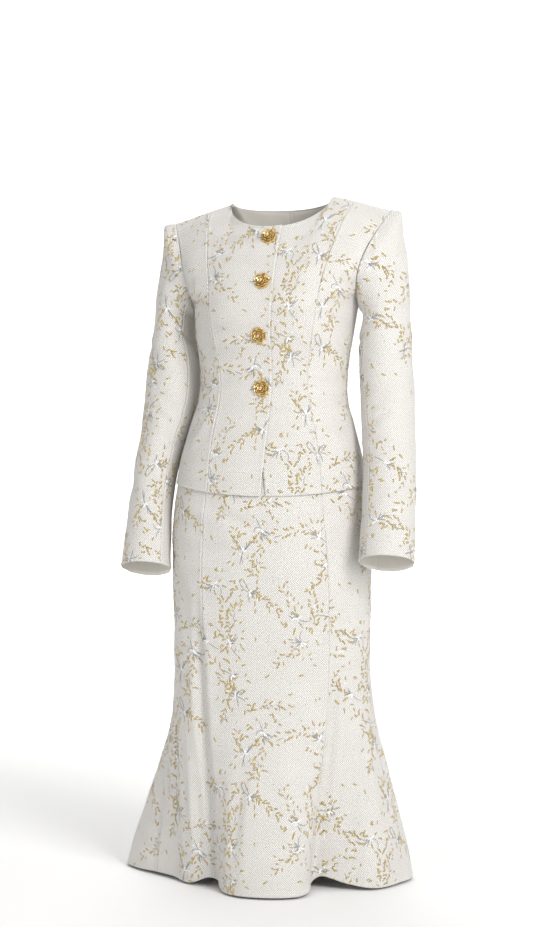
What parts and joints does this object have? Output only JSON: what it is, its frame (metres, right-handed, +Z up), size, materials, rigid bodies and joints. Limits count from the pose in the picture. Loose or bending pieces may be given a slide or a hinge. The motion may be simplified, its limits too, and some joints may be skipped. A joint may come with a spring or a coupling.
{
  "type": "women's two-piece church suit",
  "caption": "Worn women's church suit: fitted collarless princess-seamed jacket with rose buttons and long sleeves, over a mermaid skirt with a fluted hem.",
  "frame": {"origin": "middle of the shoulder line, where the wearer's shoulders hold the suit up", "axes": "+Z up, -Y out of the front towards the viewer, +X towards the wearer's left"},
  "size_m": [0.5429, 0.4228, 1.2606],
  "materials": {
    "brocade": "soft herringbone weave with gold leaf dashes and silver stems",
    "gold_metal": "polished gold"
  },
  "bodies": {
    "root": {"jacket_front_centre_right": "brocade", "jacket_front_side_right": "brocade", "jacket_back_side_right": "brocade", "jacket_back_centre_right": "brocade", "sleeve_upper_right": "brocade", "sleeve_under_right": "brocade", "jacket_front_centre_left": "brocade", "jacket_front_side_left": "brocade", "jacket_back_side_left": "brocade", "jacket_back_centre_left": "brocade", "sleeve_upper_left": "brocade", "sleeve_under_left": "brocade", "skirt_waistband": "brocade", "skirt_front_centre": "brocade", "skirt_front_side_right": "brocade", "skirt_back_side_right": "brocade", "skirt_back_centre_right": "brocade", "skirt_front_side_left": "brocade", "skirt_back_side_left": "brocade", "skirt_back_centre_left": "brocade", "button_1": "gold_metal", "button_2": "gold_metal", "button_3": "gold_metal", "button_4": "gold_metal"}
  },
  "joints": []
}
